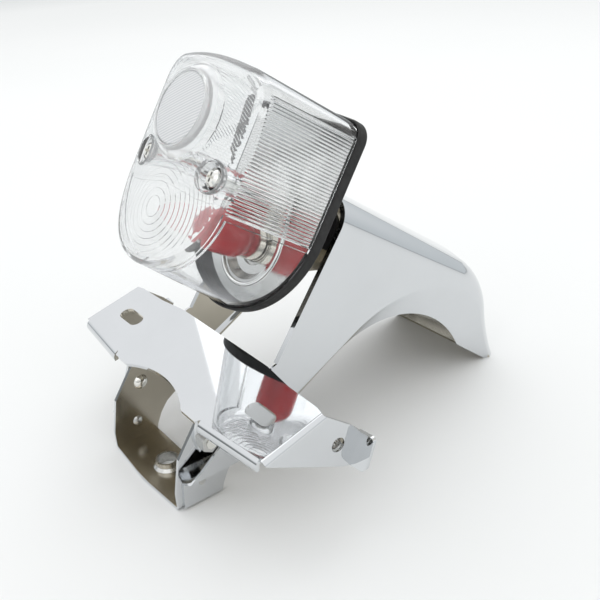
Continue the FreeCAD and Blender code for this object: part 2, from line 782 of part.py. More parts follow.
def cap_section(shrink):
    """Crown cross-section as a closed wire at the start of the path."""
    crown = dim("crown_r") - shrink
    corner = dim("corner_r") - shrink
    wall = dim("wall_x") - shrink
    inner = wall - corner
    rise = math.sqrt((crown - corner) ** 2 - inner ** 2)
    apex = -shrink
    hub = apex - crown
    mid = hub + rise
    reach = crown / (crown - corner)
    touch = V(inner * reach, 0, hub + rise * reach)
    angle = math.atan2(touch.z - mid, touch.x - inner) / 2
    bulge = V(inner + corner * math.cos(angle), 0, mid + corner * math.sin(angle))
    depth = -26.0
    mirror = V(-touch.x, 0, touch.z)
    bulge_m = V(-bulge.x, 0, bulge.z)
    edges = [
        Part.makeLine(V(wall, 0, depth), V(wall, 0, mid)),
        Part.Arc(V(wall, 0, mid), bulge, touch).toShape(),
        Part.Arc(touch, V(0, 0, apex), mirror).toShape(),
        Part.Arc(mirror, bulge_m, V(-wall, 0, mid)).toShape(),
        Part.makeLine(V(-wall, 0, mid), V(-wall, 0, depth)),
        Part.makeLine(V(-wall, 0, depth), V(wall, 0, depth)),
    ]
    wire = Part.Wire(edges)
    start = crown_points()[0]
    wire.Placement = PLACE(start, ROT(X_AXIS, -dim("crown_slope")))
    return wire


def crown_block(shrink):
    """Crown as a straight run, a bend and a flare of one cross-section."""
    slope = dim("crown_slope")
    start, turn, centre, hub = crown_points()
    section = Part.Face(cap_section(shrink))
    straight = section.extrude(turn.sub(start))
    joint = section.copy()
    joint.translate(turn.sub(start))
    bend = joint.revolve(centre, X_AXIS, slope - STEEP)
    lower = joint.copy()
    lower.rotate(centre, X_AXIS, slope - STEEP)
    flare = lower.revolve(hub, X_AXIS, STEEP - FLARE + 4)
    return straight.fuse(bend).fuse(flare).removeSplitter()


def side_block(half, offset):
    """Filled side profile under the crown, between the two side walls."""
    path = path_frame(offset)
    first = path[0].Vertexes[0].Point
    last = path[2].Vertexes[-1].Point
    corners = [last, V(0, last.y, -20), V(0, -130, -20), V(0, -130, first.z), first]
    edges = path + [Part.makeLine(corners[i], corners[i + 1]) for i in range(4)]
    face = Part.Face(Part.Wire(Part.sortEdges(edges)[0]))
    face.translate(V(-half, 0, 0))
    return face.extrude(V(2 * half, 0, 0))


def arch_wire(x, crease):
    """Closed arch profile: sloping run, arc, foot line, closed below."""
    if crease:
        hub, radius, heel = (25.0, -8.0), 66.5, (-72.0, 17.6)
        end, foot = 37.0, (90.5, -10.0)
    else:
        hub, radius, heel = (11.0, -6.5), 56.3, (-69.0, 14.0)
        end, foot = 25.0, (96.5, -10.0)
    reach = math.hypot(heel[0] - hub[0], heel[1] - hub[1])
    toward = math.atan2(hub[1] - heel[1], hub[0] - heel[0])
    lift = toward + math.asin(radius / reach)
    tangent = math.sqrt(reach * reach - radius * radius)
    touch = V(x, heel[0] + tangent * math.cos(lift), heel[1] + tangent * math.sin(lift))
    stop = math.radians(end)
    finish_point = V(x, hub[0] + radius * math.cos(stop), hub[1] + radius * math.sin(stop))
    begin = math.atan2(touch.z - hub[1], touch.y - hub[0])
    half_way = (begin + stop) / 2
    peak = V(x, hub[0] + radius * math.cos(half_way), hub[1] + radius * math.sin(half_way))
    start = V(x, heel[0], heel[1])
    close = [V(x, foot[0], foot[1]), V(x, heel[0] - 8, -10)]
    return Part.Wire([
        Part.makeLine(start, touch),
        Part.Arc(touch, peak, finish_point).toShape(),
        Part.makeLine(finish_point, close[0]),
        Part.makeLine(close[0], close[1]),
        Part.makeLine(close[1], start),
    ])


def lip_frustum(outer_x, lip):
    """Wedge that turns the wall inward round the arch."""
    return Part.makeLoft([arch_wire(outer_x + 0.001, True), arch_wire(outer_x - lip, False)],
                         True, True)


def rear_slab(depth):
    """Space behind the rear rim plane, moved in by a depth."""
    block = Part.makeBox(300, 300, 200, V(-150, -dim("rim_len"), -depth))
    block.Placement = PLACE(V(0, dim("rim_y"), dim("rim_z")), ROT(X_AXIS, dim("rim_tilt")))
    return block


def leg_trim():
    """Side-view outline that the walls and legs are trimmed to."""
    outline = [(-47.2, 52.6), (-49.5, 52.0), (-77.2, 26.7), (-92.0, 15.1), (-93.2, 12.0),
               (-95.4, -30.0), (-200.0, -30.0), (-200.0, 152.6), (-47.2, 152.6)]
    points = [V(-100, y, z) for y, z in outline]
    face = Part.Face(Part.makePolygon(points + [points[0]]))
    return face.extrude(V(200, 0, 0))


def lower_leg():
    """Joggled lower end of one leg, lying on the strap wall."""
    t = dim("sheet_t")
    wall = dim("wall_x")
    strap = dim("strap_x")
    section = [(wall - t, 18.5), (wall, 18.5), (wall, 15.4), (strap + t, 12.7), (strap + t, 1.2),
               (strap, 1.2), (strap, 13.2), (wall - t, 15.9)]
    points = [V(x, -110, z) for x, z in section]
    bar = Part.Face(Part.makePolygon(points + [points[0]])).extrude(V(0, 60, 0))
    outline = [(-94.3, 1.0), (-93.4, 12.0), (-92.9, 15.1), (-87.2, 19.0), (-60.0, 19.0),
               (-69.0, 14.0), (-72.6, 9.4), (-75.2, 4.0), (-76.0, 1.0)]
    trim_points = [V(0, y, z) for y, z in outline]
    trim = Part.Face(Part.makePolygon(trim_points + [trim_points[0]])).extrude(V(60, 0, 0))
    leg = bar.common(trim)
    hole = Part.makeCylinder(1.6, 20, V(20, dim("rivet_y"), dim("rivet_z")), X_AXIS)
    return leg.cut(hole)


def make_bracket():
    """Chrome channel: arched crown, side walls with an inward lip, legs."""
    t = dim("sheet_t")
    wall = dim("wall_x")
    outer = crown_block(0).fuse(side_block(wall, 22)).removeSplitter()
    inner = crown_block(t).fuse(side_block(wall - t, 22)).removeSplitter()
    core = crown_block(2.4).fuse(side_block(wall - 2.4, 22)).removeSplitter()
    for side in both_sides(lip_frustum(wall, 2.2)):
        outer = outer.cut(side)
    for side in both_sides(lip_frustum(wall - t, 2.2)):
        inner = inner.cut(side)
    inner = inner.cut(rear_slab(t))
    sheet_body = outer.cut(inner).cut(core)
    arch = arch_wire(-60, False)
    opening = Part.Face(arch).extrude(V(120, 0, 0))
    sheet_body = sheet_body.cut(opening).cut(rear_slab(0)).cut(leg_trim())
    sheet_body = sheet_body.cut(Part.makeBox(300, 300, 60, V(-150, -150, -60)))
    under = Part.makeBox(300, 46, 40.2, V(-150, -110, -22))
    sheet_body = sheet_body.cut(under)
    turned_in = inner.common(Part.makeBox(80, 40, t, V(-40, 84.3, 0)))
    return fused([sheet_body, turned_in] + both_sides(lower_leg()))


# ------------------------------------------------------- strap, plate, fixings
def build_strap():
    """U strap under the plate bracket."""
    body = new_body("strap_stay")
    side = new_sketch(body, "YZ_Plane", "strap_side")
    polygon(side, [("strap_front", "0"), ("-93.4", "24.5"), ("-79.9", "43.3"), ("-57", "49.35"),
                   ("-62.5", "18.2"), ("-69", "14"), ("-72.6", "9.4"), ("-75.2", "4"),
                   ("strap_back", "0")])
    pad(body, side, "2 * strap_x", midplane=True)
    room = new_sketch(body, "XZ_Plane", "strap_room")
    inner = "(strap_x - strap_t)"
    polygon(room, [("0 - " + inner, "strap_t"), (inner, "strap_t"), (inner, "90"),
                   ("0 - " + inner, "90")])
    pocket(body, room)
    nose = new_sketch(body, "XY_Plane", "strap_nose")
    polygon(nose, [("0", "strap_front"), ("30", "strap_front + 1.9"), ("30", "strap_front - 9"),
                   ("-30", "strap_front - 9"), ("-30", "strap_front + 1.9")])
    pocket(body, nose)
    holes = new_sketch(body, "YZ_Plane", "strap_holes")
    circle(holes, "bolt_y", "bolt_z", "2.6")
    circle(holes, "rivet_y", "rivet_z", "1.6")
    pocket(body, holes)
    bush = new_sketch(body, "XY_Plane", "strap_bush_hole")
    circle(bush, "0", "bush_y", "bush_r + 0.05")
    pocket(body, bush, "12")
    last = body.Tip
    edges = []
    for index, edge in enumerate(last.Shape.Edges, start=1):
        box = edge.BoundBox
        if box.YLength > 15 and box.XLength < 0.01 and box.ZMax < 0.1:
            edges.append("Edge%d" % index)
    bends = body.newObject("PartDesign::Fillet", "strap_bends")
    bends.Base = (last, edges)
    bends.Radius = dim("strap_bend")
    bind(bends, "Radius", "strap_bend")
    doc.recompute()
    finish(body)


def build_strap_fixings():
    """Bush, rivets, plate bolts and nuts."""
    collar = cylinder("bush_collar", "bush_r", "bush_h", ("0", "bush_y", "0"))
    flange = cone("bush_flange", "bush_r + 1.2", "bush_r + 0.1", "1.2",
                  ("0", "bush_y", "strap_t"))
    bore = cylinder("bush_hole", "bush_bore", "20", ("0", "bush_y", "-5"))
    finish(cut("strap_bush", fuse("bush_body", [collar, flange]), bore))
    doc.recompute()
    rivets = []
    bolts = []
    nuts = []
    inner = dim("strap_x") - dim("strap_t")
    for side in (-1, 1):
        rivets.append(rivet_shape(side, inner))
        bolts.append(bolt_shape(side, inner))
        nuts.append(nut_shape(side))
    solid("strap_rivets", Part.makeCompound(rivets))
    solid("plate_bolts", Part.makeCompound(bolts))
    solid("plate_bolt_nuts", Part.makeCompound(nuts))


def dome(radius, height, base, direction):
    """Low round head."""
    sphere_r = (radius * radius + height * height) / (2 * height)
    centre = base.sub(direction * (sphere_r - height))
    ball = Part.makeSphere(sphere_r, centre)
    slab = Part.makeCylinder(radius + 1, height + 1, base, direction)
    return ball.common(slab)


def rivet_shape(side, inner):
    """Strap rivet: round head inside, flush outside."""
    base = V(side * inner, dim("rivet_y"), dim("rivet_z"))
    inward = V(-side, 0, 0)
    head = dome(2.3, 1.2, base, inward)
    length = dim("strap_t") + dim("sheet_t") + 0.05
    shank = Part.makeCylinder(1.55, length, base, V(side, 0, 0))
    return head.fuse(shank).removeSplitter()


def bolt_shape(side, inner):
    """M5 bolt with a domed head inside the strap."""
    base = V(side * inner, dim("bolt_y"), dim("bolt_z"))
    head = dome(3.5, 2.2, base, V(-side, 0, 0))
    shank = Part.makeCylinder(2.45, 6.6, base, V(side, 0, 0))
    return head.fuse(shank).removeSplitter()


def nut_shape(side):
    """Thin M5 nut outside the plate tab."""
    start = dim("strap_x") + dim("plate_t")
    base = V(side * start, dim("bolt_y"), dim("bolt_z"))
    ring = [V(0, 4.6 * math.cos(math.radians(a)), 4.6 * math.sin(math.radians(a)))
            for a in range(30, 391, 60)]
    face = Part.Face(Part.makePolygon(ring))
    body = face.extrude(V(side * 2.9, 0, 0))
    body.translate(base)
    bore = Part.makeCylinder(2.48, 10, base.sub(V(side * 2, 0, 0)), V(side, 0, 0))
    return body.cut(bore)


def plate_outline(half, extra):
    """Top-view outline of the plate bracket in its own frame."""
    right = [V(33, 18.2 + extra, 0), V(50, 16.1 + extra, 0), V(68, 15.6 + extra, 0),
             V(half, 14.4 + extra, 0), V(half, -14.2, 0), V(69.2, -14.0, 0),
             V(35.0, -17.0, 0), V(33.6, -19.0, 0), V(23.6, -19.0, 0)]
    left = [V(-p.x, p.y, p.z) for p in reversed(right)]
    arch = Part.Arc(right[-1], V(0, -12.7, 0), left[0]).toShape()
    edges = [Part.makeLine(right[i], right[i + 1]) for i in range(len(right) - 1)]
    edges.append(arch)
    edges += [Part.makeLine(left[i], left[i + 1]) for i in range(len(left) - 1)]
    edges.append(Part.makeLine(left[-1], right[0]))
    return Part.Wire(Part.sortEdges(edges)[0])


def make_plate():
    """Licence plate bracket: slotted plate, rolled flanges, end arms, tabs."""
    t = dim("plate_t")
    half = dim("plate_half")
    place = plate_placement()
    plate = Part.Face(plate_outline(half, 0)).extrude(V(0, 0, -t))
    for side in (-1, 1):
        plate = plate.cut(slot_shape(side * dim("slot_x")))
        plate = plate.fuse(rolled_flange(side))
    plate.Placement = place
    pieces = [plate]
    for side in both_sides(arm_shape()):
        pieces.append(side)
    for side in both_sides(bolt_tab()):
        pieces.append(side)
    body = fused(pieces)
    for side in both_sides(fold_rounding(2.4)):
        side.Placement = place.multiply(side.Placement)
        body = body.cut(side)
    for side in (-1, 1):
        hole = Part.makeCylinder(3.1, 12, V(side * (half + 2), dim("nut_y"), dim("nut_z")),
                                 V(-side, 0, 0))
        body = body.cut(hole)
        bolt = Part.makeCylinder(2.6, 12, V(side * 26, dim("bolt_y"), dim("bolt_z")),
                                 V(side, 0, 0))
        body = body.cut(bolt)
    return body.removeSplitter()


def fold_rounding(radius):
    """Sliver cut off the sharp edge where the plate turns down into an arm."""
    half = dim("plate_half")
    corner = Part.makeBox(radius + 1, 44, radius + 1, V(half - radius, -22, -radius))
    barrel = Part.makeCylinder(radius, 44, V(half - radius, -22, -radius), Y_AXIS)
    return corner.cut(barrel)


def slot_shape(centre):
    """Long hole across the plate."""
    radius = dim("slot_r")
    reach = dim("slot_half") - radius
    bar = Part.makeBox(2 * reach, 2 * radius, 10, V(centre - reach, -radius, -5))
    ends = [Part.makeCylinder(radius, 10, V(centre + side * reach, 0, -5)) for side in (-1, 1)]
    return bar.fuse(ends[0]).fuse(ends[1])


def rolled_flange(side):
    """Quarter-round flange along the front edge of the plate."""
    t = dim("plate_t")
    start = V(side * 35.4, -16.4, 0)
    end = V(side * 70.5, -13.3, 0)
    run = end.sub(start)
    radius = 3.6
    down = V(0, 0, -1)
    out = run.cross(down)
    out.normalize()
    if out.y > 0:
        out = out * -1
    points = []
    for grow in (radius, radius - t):
        hub = start.add(down * radius)
        arc = [hub.sub(down * grow), None, hub.add(out * grow)]
        mid = out.sub(down)
        mid.normalize()
        arc[1] = hub.add(mid * grow)
        points.append(arc)
    drop = down * 0.6
    outer, inner = points
    edges = [
        Part.Arc(*outer).toShape(),
        Part.makeLine(outer[2], outer[2].add(drop)),
        Part.makeLine(outer[2].add(drop), inner[2].add(drop)),
        Part.makeLine(inner[2].add(drop), inner[2]),
        Part.Arc(*inner).toShape(),
        Part.makeLine(inner[0], outer[0]),
    ]
    return Part.Face(Part.Wire(Part.sortEdges(edges)[0])).extrude(run)


def arm_shape():
    """Arm on the right end: flat triangle with an outward tab."""
    t = dim("plate_t")
    half = dim("plate_half")
    outline = [(-55.1, 51.9), (-41.5, 41.2), (-36.8, 36.3), (-42.2, 23.0), (-46.5, 24.4),
               (-59.6, 31.0), (-81.3, 42.3), (-82.4, 44.4)]
    points = [V(half - t, y, z) for y, z in outline]
    arm = Part.Face(Part.makePolygon(points + [points[0]])).extrude(V(t, 0, 0))
    upper, lower = V(half - t, -38.0, 36.3), V(half - t, -43.4, 23.0)
    out = V(dim("tab_out") + t, 1.0, 0)
    tab_face = Part.Face(Part.makePolygon([upper, lower, lower.add(out), upper.add(out), upper]))
    tab = tab_face.extrude(V(0, t, 0))
    tab = soften(tab, 2.2, lambda e: outer_corner(e, half + dim("tab_out") - 0.5, t))
    return arm.fuse(tab).removeSplitter()


def outer_corner(edge, reach, length):
    """True for the short thickness edges at the outer end of an arm tab."""
    box = edge.BoundBox
    return box.XMin > reach and abs(box.YLength - length) < 0.1 and box.ZLength < 0.1


def bolt_tab():
    """Tab turned down from the plate onto the strap wall."""
    start = dim("strap_x")
    outline = [(-86.0, 33.0), (-84.6, 25.4), (-80.2, 23.6), (-75.8, 25.4), (-73.5, 33.0),
               (-70.0, 46.9), (-82.0, 43.9)]
    points = [V(start, y, z) for y, z in outline]
    return Part.Face(Part.makePolygon(points + [points[0]])).extrude(V(dim("plate_t"), 0, 0))


def build_plate_group():
    """Plate bracket and its weld nuts."""
    solid("plate_bracket", make_plate())
    nuts = []
    for side in (-1, 1):
        inner = dim("plate_half") - dim("plate_t")
        base = V(side * inner, dim("nut_y"), dim("nut_z"))
        ring = [V(0, 5.6 * math.cos(math.radians(a)), 5.6 * math.sin(math.radians(a)))
                for a in range(0, 361, 60)]
        body = Part.Face(Part.makePolygon(ring)).extrude(V(-side * 5.0, 0, 0))
        body.translate(base)
        bore = Part.makeCylinder(2.55, 14, base.add(V(side * 2, 0, 0)), V(-side, 0, 0))
        nuts.append(body.cut(bore))
    solid("arm_weld_nuts", Part.makeCompound(nuts))


# ----------------------------------------------------------------- build it all
build_lens_group()
build_pan_group()
build_bulb_group()
solid("tail_bracket", make_bracket())
build_strap()
build_strap_fixings()
build_plate_group()
doc.recompute()

for item in doc.Objects:
    if "Invalid" in item.State or "Error" in item.State:
        raise RuntimeError("object in error: " + item.Name)

os.makedirs("parts", exist_ok=True)
for item in PARTS:
    shape = item.Shape
    if shape.isNull() or not shape.isValid() or not shape.Solids:
        raise RuntimeError("bad shape: " + item.Label)
    shape.exportStep("parts/%s.step" % item.Label)
    box = shape.BoundBox
    print("%-20s solids %d  volume %9.1f  x %.1f..%.1f  y %.1f..%.1f  z %.1f..%.1f" % (
        item.Label, len(shape.Solids), shape.Volume, box.XMin, box.XMax,
        box.YMin, box.YMax, box.ZMin, box.ZMax))
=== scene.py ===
import math
import bmesh
import bpy
import numpy as np
from mathutils import Matrix, Vector
from mathutils.geometry import delaunay_2d_cdt


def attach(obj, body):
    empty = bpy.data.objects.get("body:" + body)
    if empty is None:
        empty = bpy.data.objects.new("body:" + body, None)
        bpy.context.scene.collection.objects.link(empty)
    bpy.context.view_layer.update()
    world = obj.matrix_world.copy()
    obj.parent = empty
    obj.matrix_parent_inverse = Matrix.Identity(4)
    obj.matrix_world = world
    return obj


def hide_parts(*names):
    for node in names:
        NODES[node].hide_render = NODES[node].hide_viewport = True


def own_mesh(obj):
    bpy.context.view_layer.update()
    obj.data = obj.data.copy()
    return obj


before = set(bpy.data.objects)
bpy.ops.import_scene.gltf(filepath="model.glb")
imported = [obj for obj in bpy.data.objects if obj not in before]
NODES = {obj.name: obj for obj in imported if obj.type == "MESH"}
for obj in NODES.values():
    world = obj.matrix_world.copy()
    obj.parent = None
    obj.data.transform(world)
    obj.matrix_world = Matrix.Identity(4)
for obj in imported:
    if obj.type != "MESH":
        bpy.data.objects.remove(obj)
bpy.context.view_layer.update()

MM = 0.001

# ------------------------------------------------------------------ the frames
LAMP_TILT = math.radians(56.7)
LAMP_ORIGIN = Vector((0.0, -0.0222, 0.1066))
LAMP_UP = Vector((0.0, math.cos(LAMP_TILT), math.sin(LAMP_TILT)))
LAMP_OUT = Vector((0.0, -math.sin(LAMP_TILT), math.cos(LAMP_TILT)))
PRISM_ACROSS = Vector((-0.5, 0.0, 0.0)) + LAMP_UP * math.sqrt(0.75)
LAMP_MATRIX = Matrix.Translation(LAMP_ORIGIN) @ Matrix.Rotation(LAMP_TILT, 4, "X")


# ------------------------------------------------------------------ node tools
class Tree:
    """Short calls for building one material's node tree."""

    def __init__(self, name):
        self.material = bpy.data.materials.new(name)
        self.material.use_nodes = True
        self.tree = self.material.node_tree
        self.tree.nodes.clear()
        self.output = self.tree.nodes.new("ShaderNodeOutputMaterial")
        self.shader = self.tree.nodes.new("ShaderNodeBsdfPrincipled")
        self.link(self.shader.outputs["BSDF"], self.output.inputs["Surface"])
        self.coords = self.tree.nodes.new("ShaderNodeTexCoord").outputs["Object"]

    def link(self, out, into):
        self.tree.links.new(out, into)

    def feed(self, socket, value):
        """Give a socket a link or a plain value."""
        if isinstance(value, bpy.types.NodeSocket):
            self.link(value, socket)
        elif value is not None:
            socket.default_value = value

    def set(self, **values):
        names = {"base": "Base Color", "metallic": "Metallic", "rough": "Roughness",
                 "ior": "IOR", "clear": "Transmission Weight", "coat": "Coat Weight",
                 "coat_rough": "Coat Roughness", "normal": "Normal", "alpha": "Alpha",
                 "specular": "Specular IOR Level"}
        for key, value in values.items():
            self.feed(self.shader.inputs[names[key]], value)

    def math(self, operation, a, b=None, c=None, clamp=False):
        node = self.tree.nodes.new("ShaderNodeMath")
        node.operation = operation
        node.use_clamp = clamp
        for socket, value in zip(node.inputs, (a, b, c)):
            self.feed(socket, value)
        return node.outputs[0]

    def noise(self, scale, detail=3.0, rough=0.5, vector=None, distortion=0.0):
        node = self.tree.nodes.new("ShaderNodeTexNoise")
        node.inputs["Scale"].default_value = scale
        node.inputs["Detail"].default_value = detail
        node.inputs["Roughness"].default_value = rough
        node.inputs["Distortion"].default_value = distortion
        self.link(vector or self.coords, node.inputs["Vector"])
        return node.outputs["Fac"]

    def stretch(self, scale, vector=None):
        node = self.tree.nodes.new("ShaderNodeMapping")
        node.inputs["Scale"].default_value = scale
        self.link(vector or self.coords, node.inputs["Vector"])
        return node.outputs["Vector"]

    def range(self, value, low, high, to_low, to_high):
        node = self.tree.nodes.new("ShaderNodeMapRange")
        node.clamp = True
        for name, number in (("From Min", low), ("From Max", high), ("To Min", to_low),
                             ("To Max", to_high)):
            node.inputs[name].default_value = number
        self.feed(node.inputs["Value"], value)
        return node.outputs["Result"]

    def mix(self, factor, a, b):
        node = self.tree.nodes.new("ShaderNodeMix")
        node.data_type = "RGBA"
        self.feed(node.inputs["Factor"], factor)
        self.feed(node.inputs["A"], a)
        self.feed(node.inputs["B"], b)
        return node.outputs["Result"]

    def bump(self, height, distance, strength=1.0, normal=None):
        node = self.tree.nodes.new("ShaderNodeBump")
        node.inputs["Strength"].default_value = strength
        node.inputs["Distance"].default_value = distance
        self.feed(node.inputs["Height"], height)
        if normal is not None:
            self.link(normal, node.inputs["Normal"])
        return node.outputs["Normal"]

    def split(self, vector):
        node = self.tree.nodes.new("ShaderNodeSeparateXYZ")
        self.link(vector, node.inputs[0])
        return node.outputs

    def dot(self, a, b):
        node = self.tree.nodes.new("ShaderNodeVectorMath")
        node.operation = "DOT_PRODUCT"
        self.feed(node.inputs[0], a)
        self.feed(node.inputs[1], b)
        return node.outputs["Value"]

    def minus(self, a, b):
        node = self.tree.nodes.new("ShaderNodeVectorMath")
        node.operation = "SUBTRACT"
        self.feed(node.inputs[0], a)
        self.feed(node.inputs[1], b)
        return node.outputs["Vector"]

    def object_normal(self):
        node = self.tree.nodes.new("ShaderNodeTexCoord")
        return node.outputs["Normal"]


def rgb(r, g, b):
    return (r, g, b, 1.0)


def plated(name, bright, dull, inner_point=None, shine=0.035, wave=0.00006):
    """Plated pressed sheet: bright outside, yellowish and duller inside."""
    t = Tree(name)
    cloud = t.noise(38.0, 4.0, 0.6)
    smear = t.noise(9.0, 2.0, 0.5)
    scratch = t.noise(900.0, 2.0, 0.7, t.stretch((1.0, 0.06, 0.06)))
    outside = t.mix(t.range(cloud, 0.35, 0.75, 0.0, 1.0), rgb(*bright),
                    rgb(*[c * 0.965 for c in bright]))
    rough = t.range(t.math("ADD", cloud, scratch), 0.7, 1.4, shine * 0.6, shine * 1.9)
    if inner_point is not None:
        reach = t.minus(t.coords, inner_point)
        facing = t.dot(t.object_normal(), reach)
        outer_mask = t.range(facing, -0.0005, 0.0005, 0.0, 1.0)
        inside = t.mix(t.range(cloud, 0.3, 0.8, 0.0, 1.0), rgb(*dull),
                       rgb(*[c * 0.86 for c in dull]))
        outside = t.mix(outer_mask, inside, outside)
        rough = t.math("ADD", rough, t.range(outer_mask, 0.0, 1.0, 0.14, 0.0))
    waves = t.bump(smear, wave)
    grain = t.bump(scratch, 0.000002, 0.6, waves)
    t.set(base=outside, metallic=1.0, rough=rough, normal=grain)
    return t.material


def zinc(name, tone):
    t = Tree(name)
    cloud = t.noise(160.0, 4.0, 0.6)
    base = t.mix(t.range(cloud, 0.3, 0.7, 0.0, 1.0), rgb(*tone), rgb(*[c * 0.8 for c in tone]))
    t.set(base=base, metallic=1.0, rough=t.range(cloud, 0.3, 0.7, 0.18, 0.34),
          normal=t.bump(cloud, 0.00002))
    return t.material


def rubber(name):
    t = Tree(name)
    cloud = t.noise(420.0, 5.0, 0.65)
    dust = t.noise(60.0, 3.0, 0.6)
    base = t.mix(t.range(dust, 0.45, 0.8, 0.0, 1.0), rgb(0.008, 0.008, 0.008),
                 rgb(0.024, 0.023, 0.022))
    t.set(base=base, rough=t.range(cloud, 0.3, 0.7, 0.5, 0.72), normal=t.bump(cloud, 0.00003))
    return t.material


def red_glass(name):
    t = Tree(name)
    cloud = t.noise(55.0, 3.0, 0.5)
    base = t.mix(cloud, rgb(0.97, 0.004, 0.02), rgb(0.85, 0.003, 0.012))
    t.set(base=base, rough=t.range(cloud, 0.3, 0.7, 0.03, 0.09), clear=0.5, ior=1.45,
          specular=0.3, coat=0.12, coat_rough=0.02)
    return t.material


def plastic(name, tone):
    t = Tree(name)
    cloud = t.noise(240.0, 4.0, 0.6)
    base = t.mix(cloud, rgb(*tone), rgb(*[c * 0.8 for c in tone]))
    t.set(base=base, rough=t.range(cloud, 0.3, 0.7, 0.35, 0.55), normal=t.bump(cloud, 0.00002))
    return t.material


def lens_plastic(name):
    """Clear moulded plastic: faint haze and flow marks."""
    t = Tree(name)
    cloud = t.noise(24.0, 3.0, 0.5)
    fine = t.noise(500.0, 2.0, 0.5)
    base = t.mix(t.range(cloud, 0.3, 0.8, 0.0, 1.0), rgb(0.99, 0.995, 0.995),
                 rgb(0.975, 0.985, 0.99))
    depth = t.dot(t.minus(t.coords, tuple(LAMP_ORIGIN)), tuple(LAMP_OUT))
    face = t.range(depth, 0.0425, 0.0475, 0.992, 0.82)
    clear = t.math("SUBTRACT", face, t.range(depth, 0.0515, 0.0545, 0.0, 0.22))
    t.set(base=base, rough=t.range(cloud, 0.3, 0.8, 0.0, 0.05), clear=clear, ior=1.41,
          specular=0.22, normal=t.bump(fine, 0.000004))
    return t.material


def reflex_plastic(name):
    """Whitish clear plastic of the reflector disc, with the shade of its prism rows painted on
    as darker stripes.
    """
    t = Tree(name)
    cloud = t.noise(300.0, 3.0, 0.5)
    across = t.dot(t.coords, tuple(PRISM_ACROSS * (2.0 * math.pi / 0.001126)))
    # Painted shade: darker stripes at the prism pitch stand in for the shading of the prism
    # facets.
    rows = t.range(t.math("SINE", across), -0.4, 0.9, 0.0, 1.0)
    light = t.mix(cloud, rgb(0.99, 0.99, 0.99), rgb(0.96, 0.97, 0.975))
    base = t.mix(rows, light, rgb(0.74, 0.76, 0.78))
    t.set(base=base, rough=t.range(cloud, 0.3, 0.7, 0.03, 0.10), clear=0.28, ior=1.49)
    return t.material


def paint(node, material):
    """Give one CAD node its material."""
    mesh = NODES[node].data
    mesh.materials.clear()
    mesh.materials.append(material)


# ------------------------------------------------------------ moulded lens body
# Millimetres in the lamp frame: x across, u up the face, level out of the lens.
FOOT, EDGE = 3.55, 48.0
WALL = 2.2
BOSS = (0.0, 19.2)
FOCUS = (0.0, -18.5)
SCREWS = ((-23.6, 0.0), (23.6, 0.0))
SCREW_HOLE, COLUMN_FOOT, WELL_FLOOR = 2.25, 11.0, 44.8
RIB_PITCH, RIB_START, RIB_END = 1.3, -10.4, 35.5
CREASE = 0.09
CROWN_CENTRE, CROWN_RADIUS = -58.0, 110.0


def rib_levels():
    """Heights up the side wall where the inner skin needs a column of points."""
    low = [-24.0 + 0.8 * k for k in range(14)] + [-12.9, -12.7, -11.9, -11.1, -10.9]
    ribs = [RIB_START + RIB_PITCH * k / 6.0 for k in range(215)]
    return np.array(low + ribs)


def quarter_outline(level):
    """Right half of the lamp outline at one level, bottom to top."""
    mix = (level - 5.0) / 43.0
    half, top = 40.5 - 7.0 * mix, 40.0 + 2.0 * mix
    corner, drop = 7.0 + 6.0 * mix, 6.3 + 1.2 * mix
    start = math.asin((-24.0 + drop) / half)
    turn = np.linspace(-math.pi / 2, start, 70, endpoint=False)
    lower = np.stack([half * np.cos(turn), -drop + half * np.sin(turn)], 1)
    rise = rib_levels()
    dip = np.minimum(rise + drop, 0.0)
    lift = np.maximum(rise - top + corner, 0.0)
    wide = np.sqrt(half * half - dip * dip) - corner + np.sqrt(corner * corner - lift * lift)
    share = np.clip((rise + drop) / (top - corner + drop), 0.0, 1.0)
    wide += 1.2 * max(mix, 0.0) * share * (1.0 - share)
    side = np.stack([wide, rise], 1)
    bend = np.linspace(math.asin(lift[-1] / corner), math.pi / 2, 50)[1:]
    round_part = np.stack([half - corner + corner * np.cos(bend),
                           top - corner + corner * np.sin(bend)], 1)
    across = np.linspace(half - corner, 0.0, 46)[1:]
    crest = np.stack([across, top + 1.2 * (1 - (across / (half - corner)) ** 2)], 1)
    return np.concatenate([lower, side, round_part, crest])


def whole_outline(level):
    """Closed outline: right half, then its mirror image."""
    right = quarter_outline(level)
    left = right[1:-1][::-1] * np.array([-1.0, 1.0])
    return np.concatenate([right, left])


LOW_LOOP, HIGH_LOOP = whole_outline(FOOT), whole_outline(EDGE)
MID_LOOP = 0.5 * (LOW_LOOP + HIGH_LOOP)
ALONG = np.roll(MID_LOOP, -1, 0) - np.roll(MID_LOOP, 1, 0)
OUTWARD = np.stack([ALONG[:, 1], -ALONG[:, 0]], 1)
OUTWARD /= np.linalg.norm(ALONG, axis=1)[:, None]


def face_level(x, drop=0.0):
    """Level of the crowned face, or of a skin a little below it."""
    return CROWN_CENTRE + np.sqrt((CROWN_RADIUS - drop) ** 2 - x * x)


def skin_loop(level, inset):
    """Points round the lamp at a level (one value or one per point)."""
    mix = (np.broadcast_to(level, (len(LOW_LOOP),)) - FOOT) / (EDGE - FOOT)
    flat = LOW_LOOP + (HIGH_LOOP - LOW_LOOP) * mix[:, None]
    flat = flat - OUTWARD * np.broadcast_to(inset, (len(LOW_LOOP),))[:, None]
    height = np.broadcast_to(level, (len(LOW_LOOP),))
    return np.concatenate([flat, height[:, None]], 1)


def bands(rows):
    """Vertices and quads joining closed rows of equal length."""
    count = len(rows[0])
    faces = []
    for r in range(len(rows) - 1):
        for k in range(count):
            after = (k + 1) % count
            faces.append((r * count + k, r * count + after,
                          (r + 1) * count + after, (r + 1) * count + k))
    return np.concatenate(rows), faces


